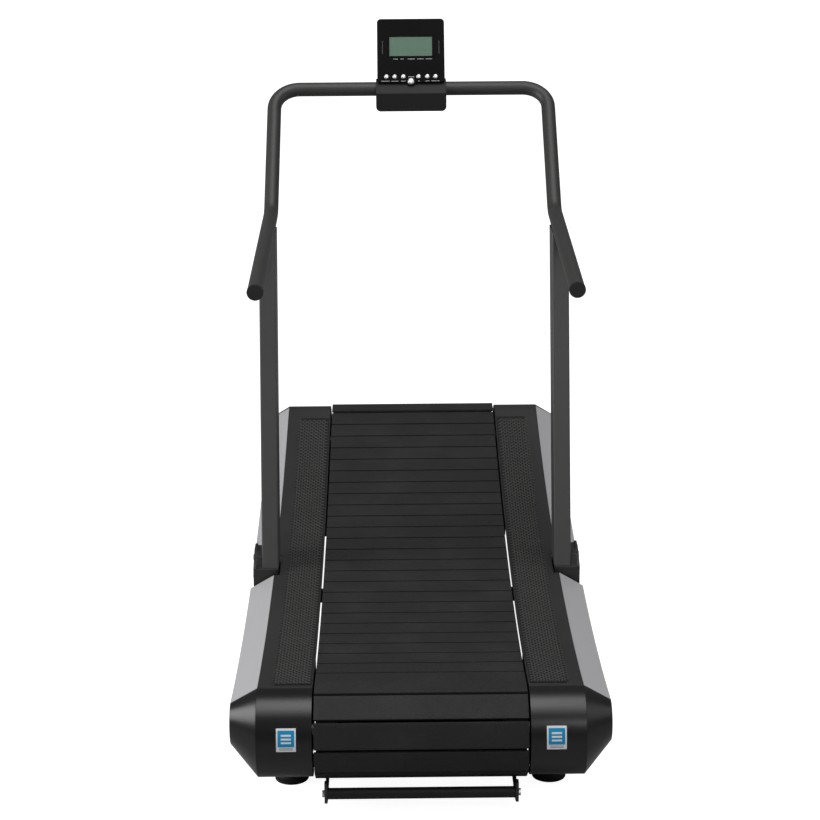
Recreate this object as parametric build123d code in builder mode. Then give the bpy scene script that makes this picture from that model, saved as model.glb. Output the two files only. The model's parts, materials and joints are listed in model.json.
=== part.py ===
"""Curved manual treadmill: a slatted belt on a curved deck, two side housings,
leaning uprights with a bent handlebar, and a small battery console.

Millimetres.  +Y points forward (towards the console), +X to the runner's right,
+Z up; the floor is Z = 0 and the origin is under the middle of the machine.
"""
import os
from math import asin, cos, degrees, hypot, pi, radians, sin, sqrt

from build123d import *

os.makedirs("parts", exist_ok=True)

# ---- belt loop -------------------------------------------------------------
REAR_AXLE_Y = -774.5
REAR_AXLE_Z = 173.0
FRONT_AXLE_Y = 774.5
FRONT_AXLE_Z = 316.0
DECK_RADIUS = 4095.0      # running surface, concave upwards
BELLY_RADIUS = 6000.0     # slack of the return run
TURN_RADIUS = 99.0        # tread face to axle centre
SLATS = 62
SLATS_PER_TURN = 10
SLAT_PITCH = 60.0
SLAT_LENGTH = 446.0
SLAT_WIDTH = 56.0
TREAD_THICK = 3.5
CORE_THICK = 3.0
CORE_LENGTH = 442.0
RIB_LENGTH = 264.0
RIB_DEPTH = 12.0
RIB_WIDTH = 8.0
FIRST_SLAT = 11.0         # along the loop from the rear tangent point
RUNNING_GAP = 0.06        # shafts in their bores
CARRIER_INNER_X = 179.0
CARRIER_OUTER_X = 219.0
CARRIER_TOP = 6.8         # depth of the carrier belt below the tread face
CARRIER_BOTTOM = 11.0
PULLEY_RADIUS = 87.7
PULLEY_HOLES = 5
PULLEY_HOLE_RADIUS = 20.0
PULLEY_HOLE_RING = 50.0
AXLE_RADIUS = 12.5
AXLE_HALF = 264.0
BEARING_SIZE = 64.0
BEARING_CORNER = 14.0
CLUTCH_IN = 220.5
CLUTCH_RADIUS = 27.0
CLUTCH_ARM_IN = 223.5
CLUTCH_ARM_REACH = 66.0
CLUTCH_ARM_WIDTH = 16.0

# ---- frame -----------------------------------------------------------------
BEAM_IN = 266.0
BEAM_OUT = 316.0
BEAM_HALF_HEIGHT = 35.0
BEAM_WALL = 3.0
BEAM_DROP = 25.5          # beam centre line below the line of axles
BEAM_REACH = 828.0
CROSS_WIDTH = 40.0
CROSS_HEIGHT = 22.0
PLATE_IN = 229.0
PLATE_OUT = 235.0
RAIL_IN = 164.0
RAIL_OUT = 169.5
RAIL_TOP = 12.0
RAIL_BOTTOM = 60.0
ROLLER_RADIUS = 20.0
ROLLER_DEPTH = 26.8
ROLLER_IN = 140.0
ROLLER_OUT = 162.0
SHAFT_RADIUS = 6.0
LEG_IN = 266.0
LEG_OUT = 296.0
LEG_X = 281.0
FRONT_LEG_IN = 277.0
FRONT_LEG_OUT = 307.0
FRONT_LEG_X = 292.0
LEG_BOTTOM = 32.0
REAR_LEG_Y = -651.0
FRONT_LEG_Y = 640.0
FOOT_RADIUS = 37.0
FRONT_FOOT_RADIUS = 25.0
FOOT_THICK = 18.0
STEM_RADIUS = 6.0
BOLT_RADIUS = 7.5
BOLT_HEAD = 5.0
CHEEK_HEAD = 2.5
BOLT_GRIP = 20.0
STEM_TOP = 64.0
WHEEL_Y = 712.0
WHEEL_Z = 44.0
WHEEL_RADIUS = 32.0
LIFT_Y = -845.0
LIFT_Z = 60.0
LIFT_RADIUS = 12.0
LIFT_BORE = 4.2
LIFT_SHANK = 4.0
LIFT_HALF = 197.0
LIFT_PLATE = 6.0
TIE_WIDTH = 30.0
TIE_HEIGHT = 18.0
FORK = 4.0
WHEEL_PIN = 5.0
WHEEL_WIDTH = 24.0

# ---- side housings ---------------------------------------------------------
COVER_IN = 227.0
CREASE = 343.0
SIDE = 400.5
SKIN = 3.0
HOUSING_NOSE = 97.0
FLAT_NOSE = 44.5
FLAT_LIFT = 19.0
FLAT_DECK_RADIUS = 4130.0
FLAT_BELLY_RADIUS = 5923.0
SEAM_Y = 0.0
CAP_JOINT_REAR = REAR_AXLE_Y
CAP_JOINT_FRONT = FRONT_AXLE_Y
PAD_IN = 230.0
PAD_OUT = 308.0
PAD_THICK = 1.5
PAD_REAR = -758.0
PAD_FRONT = 714.0
LABEL_X = 280.0
LABEL_WIDTH = 41.0
LABEL_HEIGHT = 48.0
LABEL_LIFT = 21.0         # label middle above the rear axle
LABEL_THICK = 0.4

# ---- uprights and handlebar ------------------------------------------------
POCKET_IN = 330.0
POCKET_REAR = -104.0
POCKET_FRONT = 6.0
CHEEK_IN = 386.0
CHEEK_OUT = 393.0
SEAT_IN = 333.0
SEAT_THICK = 8.0
BRACKET_REAR = -98.0
BRACKET_FRONT = 4.0
WEB_THICK = 6.0
WEB_LOW = 196.0
WEB_HIGH = 250.0
POST_OUT = 372.5
POST_IN = 332.5
POST_DEPTH = 90.0
POST_WALL = 2.5
POST_LEAN = 15.4
POST_FOOT_Y = -86.9
POST_FOOT_Z = 272.0
POST_TOP = 1044.0
POST_MITRE_WIDE = 14.0     # outer top corner, cut back under the tube
POST_MITRE_HIGH = 26.0
TUBE_RADIUS = 17.7
TUBE_BORE = 15.2
END_CAP_RADIUS = 18.4
END_CAP_THICK = 9.0
END_PLUG = 22.0
BAR_X = 350.0
GRIP_Y = -380.0
GRIP_Z = 1028.0
BEND_Y = 284.0
BEND_Z = 1064.0
BAR_Y = 591.0
BAR_Z = 1324.0
BEND_RADIUS = 70.0
CORNER_RADIUS = 64.0

# ---- console ---------------------------------------------------------------
CONSOLE_TILT = 28.0
CONSOLE_Y = 572.0
CONSOLE_Z = 1343.2
CONSOLE_WIDTH = 173.0
CONSOLE_HEIGHT = 172.0
CONSOLE_DEPTH = 28.0
CONSOLE_CORNER = 10.0
CONSOLE_WALL = 2.5
CONSOLE_FLOOR = 1345.2    # the shell sits on the bracket sheet here
SHEET_HALF = 90.0
SHEET_THICK = 3.0
CLAMP_WIDTH = 24.0
DOOR_WIDTH = 70.0
DOOR_HEIGHT = 62.0
DOOR_MID = 110.0
DOOR_GAP = 0.3
CELL_WIDTH = 13.5
CELL_PITCH = 16.0
BOARD_THICK = 1.6
BOARD_DEPTH = 9.0
FACE_THICK = 4.0
WINDOW_WIDTH = 110.0
WINDOW_HEIGHT = 53.0
WINDOW_MID = 97.5
BUTTON_RADIUS = 6.6
BUTTON_HEIGHT = 15.0
BUTTON_STEPS = (19.5, 41.9, 62.8)
KNOB_RADIUS = 9.2
KNOB_HEIGHT = 2.0
BUTTON_GAP = 0.3


def save(part, label):
    part.label = label
    export_step(part, "parts/" + label + ".step")


def mirrored(part):
    with BuildPart() as other:
        add(part.mirror(Plane.YZ))
    return other.part


def unit(dy, dz):
    size = hypot(dy, dz)
    return dy / size, dz / size


class Loop:
    """Closed outline of four tangent arcs round the two axles."""

    def __init__(self, lift, nose, deck, belly):
        self.rear = (REAR_AXLE_Y, REAR_AXLE_Z + lift)
        self.front = (FRONT_AXLE_Y, FRONT_AXLE_Z + lift)
        self.nose = nose
        self.deck = deck
        self.belly = belly
        self.along = unit(FRONT_AXLE_Y - REAR_AXLE_Y, FRONT_AXLE_Z - REAR_AXLE_Z)
        self.up = (-self.along[1], self.along[0])
        half = hypot(FRONT_AXLE_Y - REAR_AXLE_Y, FRONT_AXLE_Z - REAR_AXLE_Z) / 2
        middle = ((self.rear[0] + self.front[0]) / 2, (self.rear[1] + self.front[1]) / 2)
        self.deck_centre = self.step(middle, self.up, sqrt((deck + nose) ** 2 - half**2))
        self.belly_centre = self.step(middle, self.up, sqrt((belly - nose) ** 2 - half**2))

    @staticmethod
    def step(start, way, length):
        return start[0] + way[0] * length, start[1] + way[1] * length

    def touch(self, axle, centre, sign):
        way = unit(centre[0] - axle[0], centre[1] - axle[1])
        return self.step(axle, way, sign * self.nose)

    def deck_height(self, y):
        return self.deck_centre[1] - sqrt(self.deck**2 - (y - self.deck_centre[0]) ** 2)

    def draw(self, mode=Mode.ADD):
        """Add the outline as a face to the sketch being built."""
        rear_top = self.touch(self.rear, self.deck_centre, 1)
        front_top = self.touch(self.front, self.deck_centre, 1)
        rear_low = self.touch(self.rear, self.belly_centre, -1)
        front_low = self.touch(self.front, self.belly_centre, -1)
        with BuildLine() as outline:
            ThreePointArc(rear_top, self.step(self.deck_centre, self.up, -self.deck), front_top)
            ThreePointArc(front_top, self.step(self.front, self.along, self.nose), front_low)
            ThreePointArc(front_low, self.step(self.belly_centre, self.up, -self.belly), rear_low)
            ThreePointArc(rear_low, self.step(self.rear, self.along, -self.nose), rear_top)
        make_face(outline.edges(), mode=mode)


def belt_loop(depth):
    """The tread face outline, moved inwards by depth."""
    return Loop(0, TURN_RADIUS - depth, DECK_RADIUS + depth, BELLY_RADIUS - depth)


def crease_loop(inset):
    return Loop(0, HOUSING_NOSE - inset, DECK_RADIUS + 2 + inset, BELLY_RADIUS - 2 - inset)


def flat_loop(inset):
    return Loop(
        FLAT_LIFT, FLAT_NOSE - inset, FLAT_DECK_RADIUS + inset, FLAT_BELLY_RADIUS - inset
    )


BELT = belt_loop(0)


# ---- slats -----------------------------------------------------------------
def slat_places():
    """(distance group, y, z, tilt in degrees) of every slat, rear turn first."""
    deck_rear = asin((BELT.rear[0] - BELT.deck_centre[0]) / (DECK_RADIUS + TURN_RADIUS))
    deck_front = asin((BELT.front[0] - BELT.deck_centre[0]) / (DECK_RADIUS + TURN_RADIUS))
    low_rear = asin((BELT.rear[0] - BELT.belly_centre[0]) / (BELLY_RADIUS - TURN_RADIUS))
    low_front = asin((BELT.front[0] - BELT.belly_centre[0]) / (BELLY_RADIUS - TURN_RADIUS))
    turn_length = SLAT_PITCH * SLATS_PER_TURN / (2 * pi)
    rear_turn = turn_length * (pi + low_rear - deck_rear)
    belly_run = BELLY_RADIUS * (low_front - low_rear)
    front_turn = turn_length * (pi + deck_front - low_front)
    deck_run = DECK_RADIUS * (deck_front - deck_rear)
    pitch = (rear_turn + belly_run + front_turn + deck_run) / SLATS
    places = []
    for number in range(SLATS):
        way = FIRST_SLAT + number * pitch
        if way < rear_turn:
            tilt = deck_rear + way / turn_length
            spot = BELT.step(BELT.rear, (-sin(tilt), cos(tilt)), TURN_RADIUS)
            group = "rear_turn"
        elif way < rear_turn + belly_run:
            swing = low_rear + (way - rear_turn) / BELLY_RADIUS
            tilt = pi + swing
            spot = BELT.step(BELT.belly_centre, (sin(swing), -cos(swing)), BELLY_RADIUS)
            group = "return"
        elif way < rear_turn + belly_run + front_turn:
            tilt = pi + low_front + (way - rear_turn - belly_run) / turn_length
            spot = BELT.step(BELT.front, (-sin(tilt), cos(tilt)), TURN_RADIUS)
            group = "front_turn"
        else:
            left = way - rear_turn - belly_run - front_turn
            swing = deck_front - left / DECK_RADIUS
            tilt = swing
            spot = BELT.step(BELT.deck_centre, (sin(swing), -cos(swing)), DECK_RADIUS)
            group = "deck"
        places.append((group, spot[0], spot[1], degrees(tilt)))
    return places


def slat_locations(groups):
    return [
        Location((0, y, z), (tilt, 0, 0))
        for group, y, z, tilt in slat_places()
        if group in groups
    ]


def tread_set(groups):
    with BuildPart() as treads:
        with Locations(*slat_locations(groups)):
            with Locations((0, 0, -TREAD_THICK / 2)):
                Box(SLAT_LENGTH, SLAT_WIDTH, TREAD_THICK)
    return treads.part


def core_set():
    with BuildPart() as cores:
        with Locations(*slat_locations(("rear_turn", "return", "front_turn", "deck"))):
            with Locations((0, 0, -TREAD_THICK - CORE_THICK / 2)):
                Box(CORE_LENGTH, SLAT_WIDTH - 4, CORE_THICK)
            with Locations((0, 0, -TREAD_THICK - CORE_THICK - RIB_DEPTH / 2)):
                Box(RIB_LENGTH, RIB_WIDTH, RIB_DEPTH)
    return cores.part


def carrier_belts():
    with BuildPart() as belts:
        for start in (CARRIER_INNER_X, -CARRIER_OUTER_X):
            with BuildSketch(Plane.YZ.offset(start)):
                belt_loop(CARRIER_TOP).draw()
            extrude(amount=CARRIER_OUTER_X - CARRIER_INNER_X)
            with BuildSketch(Plane.YZ.offset(start)):
                belt_loop(CARRIER_BOTTOM).draw()
            extrude(amount=CARRIER_OUTER_X - CARRIER_INNER_X, mode=Mode.SUBTRACT)
    return belts.part


# ---- drums -----------------------------------------------------------------
def pulley_pair(y, z):
    with BuildPart() as pulleys:
        for start in (CARRIER_INNER_X, -CARRIER_OUTER_X):
            with BuildSketch(Plane.YZ.offset(start)):
                with Locations((y, z)):
                    Circle(PULLEY_RADIUS)
                    Circle(AXLE_RADIUS, mode=Mode.SUBTRACT)
                    with PolarLocations(PULLEY_HOLE_RING, PULLEY_HOLES):
                        Circle(PULLEY_HOLE_RADIUS, mode=Mode.SUBTRACT)
            extrude(amount=CARRIER_OUTER_X - CARRIER_INNER_X)
    return pulleys.part


def axle(y, z):
    with BuildPart() as shaft:
        with BuildSketch(Plane.YZ.offset(-AXLE_HALF)):
            with Locations((y, z)):
                Circle(AXLE_RADIUS)
        extrude(amount=2 * AXLE_HALF)
        chamfer(shaft.faces().sort_by(Axis.X)[-1].edges(), 1)
        chamfer(shaft.faces().sort_by(Axis.X)[0].edges(), 1)
    return shaft.part


def bearing_set():
    with BuildPart() as bearings:
        for y, z in ((REAR_AXLE_Y, REAR_AXLE_Z), (FRONT_AXLE_Y, FRONT_AXLE_Z)):
            for start in (PLATE_OUT, -BEAM_IN):
                with BuildSketch(Plane.YZ.offset(start)):
                    with Locations((y, z)):
                        RectangleRounded(BEARING_SIZE, BEARING_SIZE, BEARING_CORNER)
                        Circle(AXLE_RADIUS + RUNNING_GAP, mode=Mode.SUBTRACT)
                extrude(amount=BEAM_IN - PLATE_OUT)
    return bearings.part


def one_way_clutch():
    with BuildPart() as clutch:
        with BuildSketch(Plane.YZ.offset(CLUTCH_IN)):
            with Locations((FRONT_AXLE_Y, FRONT_AXLE_Z)):
                Circle(CLUTCH_RADIUS)
                Circle(AXLE_RADIUS + RUNNING_GAP, mode=Mode.SUBTRACT)
        extrude(amount=PLATE_IN - CLUTCH_IN)
        with BuildSketch(Plane.YZ.offset(CLUTCH_ARM_IN)):
            with Locations((FRONT_AXLE_Y - CLUTCH_ARM_REACH / 2, FRONT_AXLE_Z)):
                Rectangle(CLUTCH_ARM_REACH, CLUTCH_ARM_WIDTH)
            with Locations((FRONT_AXLE_Y, FRONT_AXLE_Z)):
                Circle(CLUTCH_RADIUS - 7, mode=Mode.SUBTRACT)
        extrude(amount=PLATE_IN - CLUTCH_ARM_IN)
    return clutch.part


# ---- frame -----------------------------------------------------------------
def beam_middle(y):
    along = (y - REAR_AXLE_Y) / (FRONT_AXLE_Y - REAR_AXLE_Y)
    return REAR_AXLE_Z - BEAM_DROP + along * (FRONT_AXLE_Z - REAR_AXLE_Z)


def beam_low(y):
    return beam_middle(y) - BEAM_HALF_HEIGHT


def beam_sketch(inset):
    high = BEAM_HALF_HEIGHT - inset
    with BuildLine() as outline:
        Polyline(
            (-BEAM_REACH, beam_middle(-BEAM_REACH) - high),
            (BEAM_REACH, beam_middle(BEAM_REACH) - high),
            (BEAM_REACH, beam_middle(BEAM_REACH) + high),
            (-BEAM_REACH, beam_middle(-BEAM_REACH) + high),
            close=True,
        )
    make_face(outline.edges())


def frame_beam():
    with BuildPart() as beam:
        with BuildSketch(Plane.YZ.offset(BEAM_IN)):
            beam_sketch(0)
        extrude(amount=BEAM_OUT - BEAM_IN)
        with BuildSketch(Plane.YZ.offset(BEAM_IN + BEAM_WALL)):
            beam_sketch(BEAM_WALL)
        extrude(amount=BEAM_OUT - BEAM_IN - 2 * BEAM_WALL, mode=Mode.SUBTRACT)
    return beam.part


def cross_places():
    return [(y, BELT.deck_height(y) - RAIL_BOTTOM - 3) for y in (-550.0, -90.0, 430.0)]


def cross_members():
    with BuildPart() as bars:
        for y, z in cross_places():
            with BuildSketch(Plane.YZ.offset(-BEAM_IN)):
                with Locations((y, z)):
                    Rectangle(CROSS_WIDTH, CROSS_HEIGHT)
                    Rectangle(CROSS_WIDTH - 5, CROSS_HEIGHT - 5, mode=Mode.SUBTRACT)
            extrude(amount=2 * BEAM_IN)
    return bars.part


def cross_holes(start, width):
    """Notches for the cross members in the plates that sit on them."""
    with BuildSketch(Plane.YZ.offset(start)) as notches:
        with Locations(*cross_places()):
            Rectangle(CROSS_WIDTH, CROSS_HEIGHT)
    extrude(notches.sketch, amount=width, mode=Mode.SUBTRACT)


def axle_plates():
    with BuildPart() as plates:
        for start in (PLATE_IN, -PLATE_OUT):
            with BuildSketch(Plane.YZ.offset(start)):
                with BuildLine():
                    Polyline(
                        (-838, 130), (-800, 108), (-700, 112), (-520, 160),
                        (-520, 236), (-700, 244), (-790, 242), (-838, 208), close=True,
                    )
                make_face()
                with BuildLine():
                    Polyline(
                        (300, 207), (560, 232), (786, 250), (842, 294),
                        (842, 344), (796, 384), (700, 366), (300, 292), close=True,
                    )
                make_face()
                with Locations((REAR_AXLE_Y, REAR_AXLE_Z), (FRONT_AXLE_Y, FRONT_AXLE_Z)):
                    Circle(18, mode=Mode.SUBTRACT)
            extrude(amount=PLATE_OUT - PLATE_IN)
            cross_holes(start, PLATE_OUT - PLATE_IN)
    return plates.part


def roller_places():
    spots = []
    for y in (-600.0, -250.0, 150.0, 560.0):
        swing = asin((y - BELT.deck_centre[0]) / DECK_RADIUS)
        reach = DECK_RADIUS + ROLLER_DEPTH
        spots.append(BELT.step(BELT.deck_centre, (sin(swing), -cos(swing)), reach))
    return spots


def track_rails():
    with BuildPart() as rails:
        for start in (RAIL_IN, -RAIL_OUT):
            with BuildSketch(Plane.YZ.offset(start)):
                belt_loop(RAIL_TOP).draw()
                with Locations(BELT.deck_centre):
                    Circle(DECK_RADIUS + RAIL_BOTTOM, mode=Mode.INTERSECT)
                with Locations((0, 250)):
                    Rectangle(1330, 600, mode=Mode.INTERSECT)
                with Locations(*roller_places()):
                    Circle(SHAFT_RADIUS + RUNNING_GAP, mode=Mode.SUBTRACT)
            extrude(amount=RAIL_OUT - RAIL_IN)
            cross_holes(start, RAIL_OUT - RAIL_IN)
    return rails.part


def roller_shaft(spot):
    with BuildPart() as roller:
        with BuildSketch(Plane.YZ.offset(-RAIL_OUT)):
            with Locations(spot):
                Circle(SHAFT_RADIUS)
        extrude(amount=2 * RAIL_OUT)
        for start in (ROLLER_IN, -ROLLER_OUT):
            with BuildSketch(Plane.YZ.offset(start)):
                with Locations(spot):
                    Circle(ROLLER_RADIUS)
            extrude(amount=ROLLER_OUT - ROLLER_IN)
    return roller.part


def leg_profile(middle):
    with BuildLine() as outline:
        Polyline(
            (middle - 20, LEG_BOTTOM),
            (middle + 20, LEG_BOTTOM),
            (middle + 20, beam_low(middle + 20)),
            (middle - 20, beam_low(middle - 20)),
            close=True,
        )
    make_face(outline.edges())


def stem_holes():
    return [
        (side * x, y, LEG_BOTTOM)
        for side in (-1, 1)
        for x, y in ((LEG_X, REAR_LEG_Y), (FRONT_LEG_X, FRONT_LEG_Y))
    ]


def legs():
    """Four legs, the rear tie bar, the lift bar brackets and the wheel forks."""
    with BuildPart() as weldment:
        for middle, inner, outer in (
            (REAR_LEG_Y, LEG_IN, LEG_OUT),
            (FRONT_LEG_Y, FRONT_LEG_IN, FRONT_LEG_OUT),
        ):
            for start in (inner, -outer):
                with BuildSketch(Plane.YZ.offset(start)):
                    leg_profile(middle)
                extrude(amount=outer - inner)
        with BuildSketch(Plane.YZ.offset(-LEG_IN)):
            with Locations((REAR_LEG_Y, LEG_BOTTOM + TIE_HEIGHT / 2)):
                Rectangle(TIE_WIDTH, TIE_HEIGHT)
        extrude(amount=2 * LEG_IN)
        for start in (LIFT_HALF, -LIFT_HALF - LIFT_PLATE):
            with BuildSketch(Plane.YZ.offset(start)):
                with BuildLine():
                    Polyline(
                        (-859, 44), (-859, 88), (-842, 88), (-818, 56),
                        (-660, 56), (-660, 32), (-820, 32), close=True,
                    )
                make_face()
                with Locations((LIFT_Y, LIFT_Z)):
                    Circle(LIFT_BORE, mode=Mode.SUBTRACT)
            extrude(amount=LIFT_PLATE)
        for start in (
            FRONT_LEG_IN - FORK, FRONT_LEG_OUT, -FRONT_LEG_IN, -FRONT_LEG_OUT - FORK
        ):
            with BuildSketch(Plane.YZ.offset(start)):
                with Locations((FRONT_LEG_Y + 43, WHEEL_Z)):
                    Rectangle(80, 24)
                with Locations((WHEEL_Y, WHEEL_Z)):
                    Circle(16)
                    Circle(WHEEL_PIN + RUNNING_GAP, mode=Mode.SUBTRACT)
            extrude(amount=FORK)
        with Locations(*stem_holes()):
            Cylinder(
                STEM_RADIUS + RUNNING_GAP, 2 * (STEM_TOP + 12 - LEG_BOTTOM), mode=Mode.SUBTRACT
            )
    return weldment.part


def foot(x, y, radius):
    with BuildPart() as pad:
        with Locations((x, y, FOOT_THICK / 2)):
            Cylinder(radius, FOOT_THICK)
        chamfer(pad.faces().sort_by(Axis.Z)[-1].edges(), 4)
        with BuildSketch(Plane.XY.offset(FOOT_THICK)):
            with Locations((x, y)):
                Circle(STEM_RADIUS)
        extrude(amount=STEM_TOP - FOOT_THICK)
    return pad.part


def wheel(side):
    middle = side * FRONT_LEG_X
    half = (FRONT_LEG_OUT - FRONT_LEG_IN) / 2 + FORK
    with BuildPart() as tyre:
        with BuildSketch(Plane.YZ.offset(middle - WHEEL_WIDTH / 2)):
            with Locations((WHEEL_Y, WHEEL_Z)):
                Circle(WHEEL_RADIUS)
        extrude(amount=WHEEL_WIDTH)
        fillet(tyre.edges().filter_by(GeomType.CIRCLE), 4)
        with BuildSketch(Plane.YZ.offset(middle - half)):
            with Locations((WHEEL_Y, WHEEL_Z)):
                Circle(WHEEL_PIN)
        extrude(amount=2 * half)
    return tyre.part


def lift_bar():
    with BuildPart() as bar:
        with BuildSketch(Plane.YZ.offset(-LIFT_HALF)):
            with Locations((LIFT_Y, LIFT_Z)):
                Circle(LIFT_RADIUS)
                Circle(LIFT_BORE, mode=Mode.SUBTRACT)
        extrude(amount=2 * LIFT_HALF)
    return bar.part


# ---- side housing ----------------------------------------------------------
def housing_solid(inset):
    """Outer or inner form of the right housing, added to the part being built."""
    mode = Mode.ADD if inset == 0 else Mode.SUBTRACT
    start = COVER_IN if inset == 0 else COVER_IN - 1
    with BuildSketch(Plane.YZ.offset(start)) as inboard:
        crease_loop(inset).draw()
    extrude(inboard.sketch, amount=CREASE - start, mode=mode)
    with BuildSketch(Plane.YZ.offset(CREASE)) as crease:
        crease_loop(inset).draw()
    with BuildSketch(Plane.YZ.offset(SIDE - inset)) as flat:
        flat_loop(inset).draw()
    loft([crease.sketch, flat.sketch], ruled=True, mode=mode)


def keep_box(x0, x1, y0, y1, z0=0.0, z1=600.0):
    with Locations(((x0 + x1) / 2, (y0 + y1) / 2, (z0 + z1) / 2)):
        Box(x1 - x0, y1 - y0, z1 - z0, mode=Mode.INTERSECT)


def drop_box(x0, x1, y0, y1, z0, z1):
    with Locations(((x0 + x1) / 2, (y0 + y1) / 2, (z0 + z1) / 2)):
        Box(x1 - x0, y1 - y0, z1 - z0, mode=Mode.SUBTRACT)


def inner_lip(width):
    with BuildSketch(Plane.YZ.offset(COVER_IN)) as lip:
        crease_loop(0).draw()
        crease_loop(width).draw(Mode.SUBTRACT)
    extrude(lip.sketch, amount=SKIN)


def end_cap(y0, y1):
    with BuildPart() as cap:
        housing_solid(0)
        housing_solid(SKIN)
        inner_lip(15)
        keep_box(COVER_IN, SIDE, y0, y1)
    return cap.part


def bracket_pocket():
    drop_box(POCKET_IN, SIDE + 1, POCKET_REAR, POCKET_FRONT, 150, 420)


def top_cover(y0, y1):
    with BuildPart() as cover:
        housing_solid(0)
        housing_solid(SKIN)
        inner_lip(12)
        keep_box(COVER_IN, CREASE, y0, y1)
        with BuildSketch(Plane.YZ.offset(COVER_IN)):
            with BuildLine():
                Polyline(
                    (-900, 160), (-300, 215), (300, 230), (900, 330),
                    (900, 0), (-900, 0), close=True,
                )
            make_face()
        extrude(amount=CREASE - COVER_IN, mode=Mode.SUBTRACT)
        bracket_pocket()
    return cover.part


def side_panel():
    with BuildPart() as panel:
        housing_solid(0)
        housing_solid(SKIN)
        keep_box(CREASE, SIDE, CAP_JOINT_REAR, CAP_JOINT_FRONT)
        bracket_pocket()
    return panel.part


def foot_pads():
    """Raised grip strips on the covers, each in a rear and a front length."""
    with BuildPart() as pads:
        for start in (PAD_IN, -PAD_OUT):
            with BuildSketch(Plane.YZ.offset(start)):
                crease_loop(-PAD_THICK).draw()
                crease_loop(0).draw(Mode.SUBTRACT)
            extrude(amount=PAD_OUT - PAD_IN)
        with Locations((0, (PAD_REAR + PAD_FRONT) / 2, 350)):
            Box(2 * PAD_OUT, PAD_FRONT - PAD_REAR, 240, mode=Mode.INTERSECT)
        with Locations((0, SEAM_Y, 350)):
            Box(2 * PAD_OUT, 1.2, 240, mode=Mode.SUBTRACT)
    return pads.part


# ---- uprights and handlebar ------------------------------------------------
LEAN = radians(POST_LEAN)


def bar_height(y):
    return GRIP_Z + (y - GRIP_Y) * (BEND_Z - GRIP_Z) / (BEND_Y - GRIP_Y)


def post_profile(inset, low, high_cut):
    """Leaning rectangle seen from the side; low is the height of its foot."""
    level = POST_DEPTH / cos(LEAN)
    shift = inset / cos(LEAN)
    slope = sin(LEAN) / cos(LEAN)
    rise = POST_TOP - high_cut
    foot_y = POST_FOOT_Y + slope * (low - POST_FOOT_Z)
    top_y = POST_FOOT_Y + slope * (rise - POST_FOOT_Z)
    with BuildLine() as outline:
        Polyline(
            (foot_y + shift, low),
            (foot_y + level - shift, low),
            (top_y + level - shift, rise),
            (top_y + shift, rise),
            close=True,
        )
    make_face(outline.edges())


def upright():
    with BuildPart() as post:
        with BuildSketch(Plane.YZ.offset(POST_IN)):
            post_profile(0, POST_FOOT_Z, 0)
        extrude(amount=POST_OUT - POST_IN)
        fillet(post.edges().filter_by(lambda e: abs(e.tangent_at(0.5).Z) > 0.9), 4)
        with BuildSketch(Plane.YZ.offset(POST_IN + POST_WALL)):
            post_profile(POST_WALL, POST_FOOT_Z, 30)
        extrude(amount=POST_OUT - POST_IN - 2 * POST_WALL, mode=Mode.SUBTRACT)
        with BuildSketch(Plane.XZ.offset(-GRIP_Y)):
            with Locations((BAR_X, GRIP_Z)):
                Circle(TUBE_RADIUS + 0.05)
        slope = unit(BEND_Y - GRIP_Y, BEND_Z - GRIP_Z)
        extrude(amount=700, dir=(0, slope[0], slope[1]), mode=Mode.SUBTRACT)
        with BuildSketch(Plane.XZ.offset(-400)):
            with BuildLine():
                Polyline(
                    (POST_OUT + 1, POST_TOP - POST_MITRE_HIGH),
                    (POST_OUT + 1, POST_TOP + 1),
                    (POST_OUT - POST_MITRE_WIDE, POST_TOP + 1),
                    close=True,
                )
            make_face()
        extrude(amount=400, mode=Mode.SUBTRACT)
    return post.part


def tangent_arc(before, corner, after, radius):
    """Points where a bend of this radius starts, peaks and ends."""
    back = (before - corner).normalized()
    ahead = (after - corner).normalized()
    half = radians(back.get_angle(ahead)) / 2
    reach = radius * cos(half) / sin(half)
    middle = (back + ahead).normalized()
    peak = corner + middle * (radius / sin(half) - radius)
    return corner + back * reach, peak, corner + ahead * reach


def handlebar_path():
    grip_r = Vector(BAR_X, GRIP_Y, GRIP_Z)
    bend_r = Vector(BAR_X, BEND_Y, BEND_Z)
    top_r = Vector(BAR_X, BAR_Y, BAR_Z)
    grip_l = Vector(-BAR_X, GRIP_Y, GRIP_Z)
    bend_l = Vector(-BAR_X, BEND_Y, BEND_Z)
    top_l = Vector(-BAR_X, BAR_Y, BAR_Z)
    bends = (
        tangent_arc(grip_r, bend_r, top_r, BEND_RADIUS),
        tangent_arc(bend_r, top_r, top_l, CORNER_RADIUS),
        tangent_arc(top_r, top_l, bend_l, CORNER_RADIUS),
        tangent_arc(top_l, bend_l, grip_l, BEND_RADIUS),
    )
    here = grip_r
    for start, peak, end in bends:
        Line(here, start)
        ThreePointArc(start, peak, end)
        here = end
    Line(here, grip_l)


def handlebar():
    with BuildPart() as bar:
        with BuildLine() as path:
            handlebar_path()
        with BuildSketch(Plane(path.line @ 0, z_dir=path.line % 0)):
            Circle(TUBE_RADIUS)
            Circle(TUBE_BORE, mode=Mode.SUBTRACT)
        sweep()
    return bar.part


def handle_end_caps():
    way = unit(BEND_Y - GRIP_Y, BEND_Z - GRIP_Z)
    with BuildPart() as caps:
        for x in (-BAR_X, BAR_X):
            rear = Plane((x, GRIP_Y, GRIP_Z), z_dir=(0, -way[0], -way[1]))
            with BuildSketch(rear):
                Circle(END_CAP_RADIUS)
            extrude(amount=END_CAP_THICK)
            with BuildSketch(rear):
                Circle(TUBE_BORE)
            extrude(amount=-END_PLUG)
    return caps.part


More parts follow.
